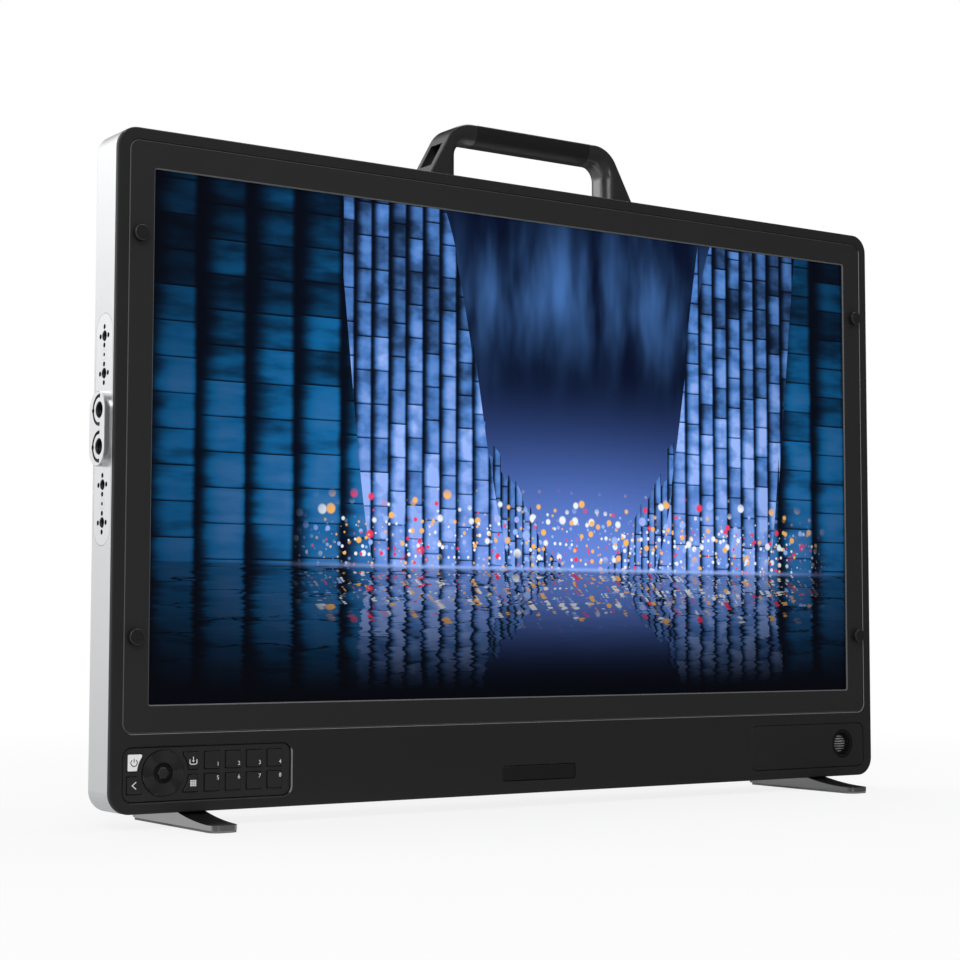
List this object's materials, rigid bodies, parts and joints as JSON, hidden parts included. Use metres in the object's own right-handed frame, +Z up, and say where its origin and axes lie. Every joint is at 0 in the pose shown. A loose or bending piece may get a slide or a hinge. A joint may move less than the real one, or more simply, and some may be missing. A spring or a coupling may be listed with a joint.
{
  "type": "reference monitor",
  "caption": "Flat reference monitor on two wedge feet, with a carrying handle, threaded side mounts, a keypad with jog ring, a speaker and a rear connector panel",
  "frame": {"origin": "on the floor, at the middle of the box round the whole monitor, so under the middle of the feet", "axes": "+Z is up, the screen faces -Y, and +X is to the right of a person who looks at the screen"},
  "size_m": [0.5846, 0.1014, 0.4243],
  "materials": {
    "silver_frame": "fine blasted, clear anodised",
    "black_plate": "matt black",
    "black_fitting": "satin black",
    "screen": "lit picture panel",
    "black_rubber": "matt",
    "backlight": "white moulding",
    "sheet_steel": "plated sheet",
    "rear_shell": "matt dark grey",
    "screws": "dark plated",
    "board": "green board",
    "bare_aluminium": "bare",
    "nickel": "nickel plated",
    "black_plastic": "black moulding",
    "key_cap": "dark silicone-like cap",
    "power_key": "white cap",
    "jog": "satin dark",
    "select": "satin dark",
    "tally_window": "smoked"
  },
  "bodies": {
    "monitor": {"mid_frame": "silver_frame", "side_mount_right": "silver_frame", "side_mount_left": "silver_frame", "front_bezel": "black_plate", "screen_surround": "black_plate", "speaker_panel": "black_plate", "keypad_plate": "black_plate", "speaker_grille": "black_plate", "handle_bracket_right": "black_fitting", "handle_bracket_left": "black_fitting", "handle_grip": "black_fitting", "foot_right": "black_fitting", "foot_left": "black_fitting", "hood_studs": "black_fitting", "lcd_panel": "screen", "screen_gasket": "black_rubber", "foot_pads": "black_rubber", "backlight_unit": "backlight", "panel_rails": "sheet_steel", "chassis_plate": "sheet_steel", "io_plate": "sheet_steel", "vesa_posts": "sheet_steel", "rear_cover": "rear_shell", "rear_cover_screws": "screws", "bezel_screws": "screws", "handle_screws": "screws", "foot_screws": "screws", "side_mount_screws": "screws", "board_screws": "screws", "fan_screws": "screws", "main_board": "board", "power_board": "board", "keypad_board": "board", "heat_sink": "bare_aluminium", "speaker_driver": "bare_aluminium", "sdi_jacks": "nickel", "hdmi_sockets": "nickel", "data_sockets": "black_plastic", "dc_inlet": "black_plastic", "headphone_jack": "black_plastic", "fan_housings": "black_plastic", "key_switches": "black_plastic", "jog_encoder": "black_plastic", "tally_lens": "tally_window"},
    "key_power": {"key_power": "power_key"},
    "key_back": {"key_back": "key_cap"},
    "key_input": {"key_input": "key_cap"},
    "key_menu": {"key_menu": "key_cap"},
    "key_1": {"key_1": "key_cap"},
    "key_2": {"key_2": "key_cap"},
    "key_3": {"key_3": "key_cap"},
    "key_4": {"key_4": "key_cap"},
    "key_5": {"key_5": "key_cap"},
    "key_6": {"key_6": "key_cap"},
    "key_7": {"key_7": "key_cap"},
    "key_8": {"key_8": "key_cap"},
    "select_button": {"select_button": "select"},
    "jog_ring": {"jog_ring": "jog"},
    "fan_rotor_left": {"fan_rotor_left": "black_plastic"},
    "fan_rotor_right": {"fan_rotor_right": "black_plastic"}
  },
  "joints": [
    {"name": "key_power_press", "type": "slide", "parent": "monitor", "child": "key_power", "axis": [0, 1, 0], "range_m": [0, 0.0008], "stiffness_N_per_m": 400},
    {"name": "key_back_press", "type": "slide", "parent": "monitor", "child": "key_back", "axis": [0, 1, 0], "range_m": [0, 0.0008], "stiffness_N_per_m": 400},
    {"name": "key_input_press", "type": "slide", "parent": "monitor", "child": "key_input", "axis": [0, 1, 0], "range_m": [0, 0.0008], "stiffness_N_per_m": 400},
    {"name": "key_menu_press", "type": "slide", "parent": "monitor", "child": "key_menu", "axis": [0, 1, 0], "range_m": [0, 0.0008], "stiffness_N_per_m": 400},
    {"name": "key_1_press", "type": "slide", "parent": "monitor", "child": "key_1", "axis": [0, 1, 0], "range_m": [0, 0.0008], "stiffness_N_per_m": 400},
    {"name": "key_2_press", "type": "slide", "parent": "monitor", "child": "key_2", "axis": [0, 1, 0], "range_m": [0, 0.0008], "stiffness_N_per_m": 400},
    {"name": "key_3_press", "type": "slide", "parent": "monitor", "child": "key_3", "axis": [0, 1, 0], "range_m": [0, 0.0008], "stiffness_N_per_m": 400},
    {"name": "key_4_press", "type": "slide", "parent": "monitor", "child": "key_4", "axis": [0, 1, 0], "range_m": [0, 0.0008], "stiffness_N_per_m": 400},
    {"name": "key_5_press", "type": "slide", "parent": "monitor", "child": "key_5", "axis": [0, 1, 0], "range_m": [0, 0.0008], "stiffness_N_per_m": 400},
    {"name": "key_6_press", "type": "slide", "parent": "monitor", "child": "key_6", "axis": [0, 1, 0], "range_m": [0, 0.0008], "stiffness_N_per_m": 400},
    {"name": "key_7_press", "type": "slide", "parent": "monitor", "child": "key_7", "axis": [0, 1, 0], "range_m": [0, 0.0008], "stiffness_N_per_m": 400},
    {"name": "key_8_press", "type": "slide", "parent": "monitor", "child": "key_8", "axis": [0, 1, 0], "range_m": [0, 0.0008], "stiffness_N_per_m": 400},
    {"name": "select_press", "type": "slide", "parent": "monitor", "child": "select_button", "axis": [0, 1, 0], "range_m": [0, 0.0006], "stiffness_N_per_m": 400},
    {"name": "jog_turn", "type": "hinge", "parent": "monitor", "child": "jog_ring", "pos_m": [-0.2564, -0.01105, 0.03045], "axis": [0, 1, 0], "continuous": true},
    {"name": "fan_turn_left", "type": "hinge", "parent": "monitor", "child": "fan_rotor_left", "pos_m": [-0.1505, 0.02195, 0.19895], "axis": [0, 1, 0], "continuous": true},
    {"name": "fan_turn_right", "type": "hinge", "parent": "monitor", "child": "fan_rotor_right", "pos_m": [0.1505, 0.02195, 0.19895], "axis": [0, 1, 0], "continuous": true}
  ]
}
